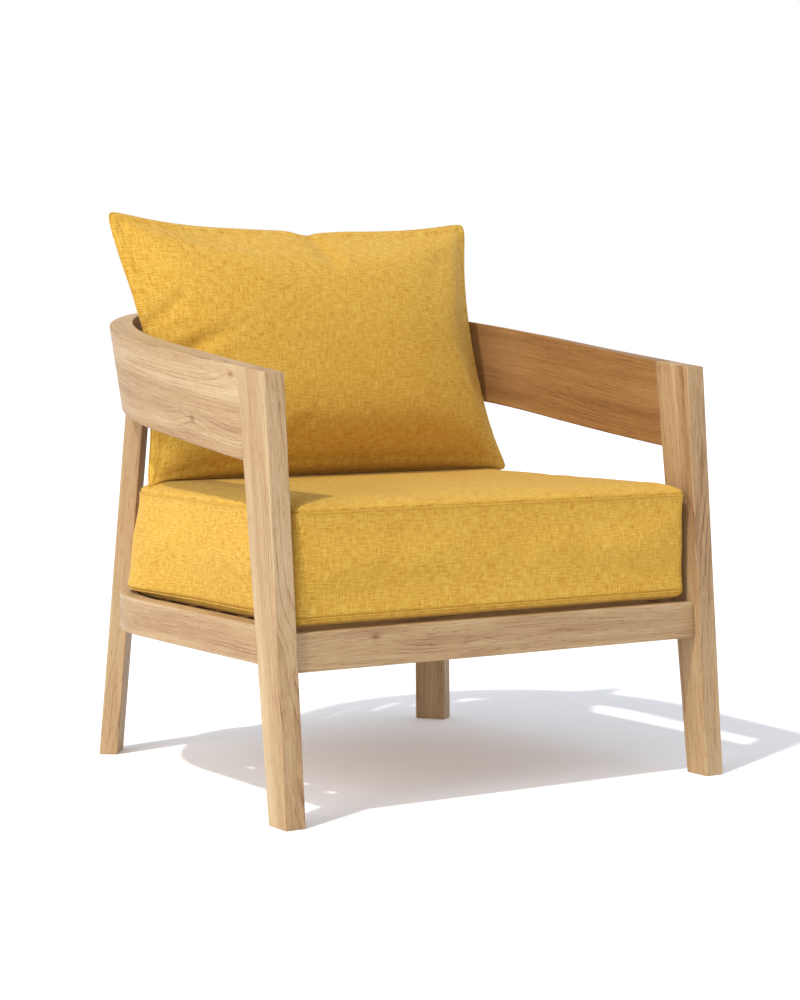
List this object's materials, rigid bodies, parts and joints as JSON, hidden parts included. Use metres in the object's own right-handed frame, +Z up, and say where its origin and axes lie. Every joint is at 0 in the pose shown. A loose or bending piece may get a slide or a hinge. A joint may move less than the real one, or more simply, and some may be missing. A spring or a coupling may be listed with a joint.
{
  "type": "armchair",
  "caption": "Low wooden armchair with a curved arm-and-back band, a slatted seat frame, a boxed seat cushion and a loose back cushion.",
  "frame": {"origin": "on the floor, under the middle of the chair's bounding box", "axes": "+Z up, -Y the way the sitter faces, +X the chair's left as the sitter sits (the right in a front view)"},
  "size_m": [0.7842, 0.7968, 0.8508],
  "materials": {
    "teak": "oiled, straight grained",
    "beech": "planed",
    "zinc_steel": "zinc plated",
    "cushion_fabric": "coarse plain weave, mustard yellow",
    "cushion_foam": "open cell foam",
    "cushion_fibre": "soft fibre filling"
  },
  "bodies": {
    "frame": {"front_leg_left": "teak", "front_leg_right": "teak", "rear_leg_left": "teak", "rear_leg_right": "teak", "arm_left": "teak", "arm_right": "teak", "back_crest": "teak", "front_rail": "teak", "side_rail_left": "teak", "side_rail_right": "teak", "back_rail": "teak", "seat_cleat_left": "beech", "seat_cleat_right": "beech", "seat_slat_1": "teak", "seat_slat_2": "teak", "seat_slat_3": "teak", "seat_slat_4": "teak", "seat_slat_5": "teak", "seat_slat_6": "teak", "seat_slat_7": "teak", "seat_slat_8": "teak", "back_slat_1": "teak", "back_slat_2": "teak", "back_slat_3": "teak", "back_slat_4": "teak", "back_slat_5": "teak", "arm_dowels": "beech", "crest_dowels": "beech", "rear_leg_dowels": "beech", "rail_dowels": "beech", "rear_leg_screws": "zinc_steel", "cleat_screws": "zinc_steel", "slat_screws": "zinc_steel"},
    "seat_cushion": {"seat_cushion_cover": "cushion_fabric", "seat_cushion_foam": "cushion_foam"},
    "back_cushion": {"back_cushion_cover": "cushion_fabric", "back_cushion_filling": "cushion_fibre"}
  },
  "joints": [
    {"name": "seat_cushion_out", "type": "slide", "parent": "frame", "child": "seat_cushion", "axis": [0, -1, 0], "range_m": [0, 0.71]},
    {"name": "back_cushion_out", "type": "slide", "parent": "frame", "child": "back_cushion", "axis": [0, -0.6392, 0.769], "range_m": [0, 0.62]}
  ]
}
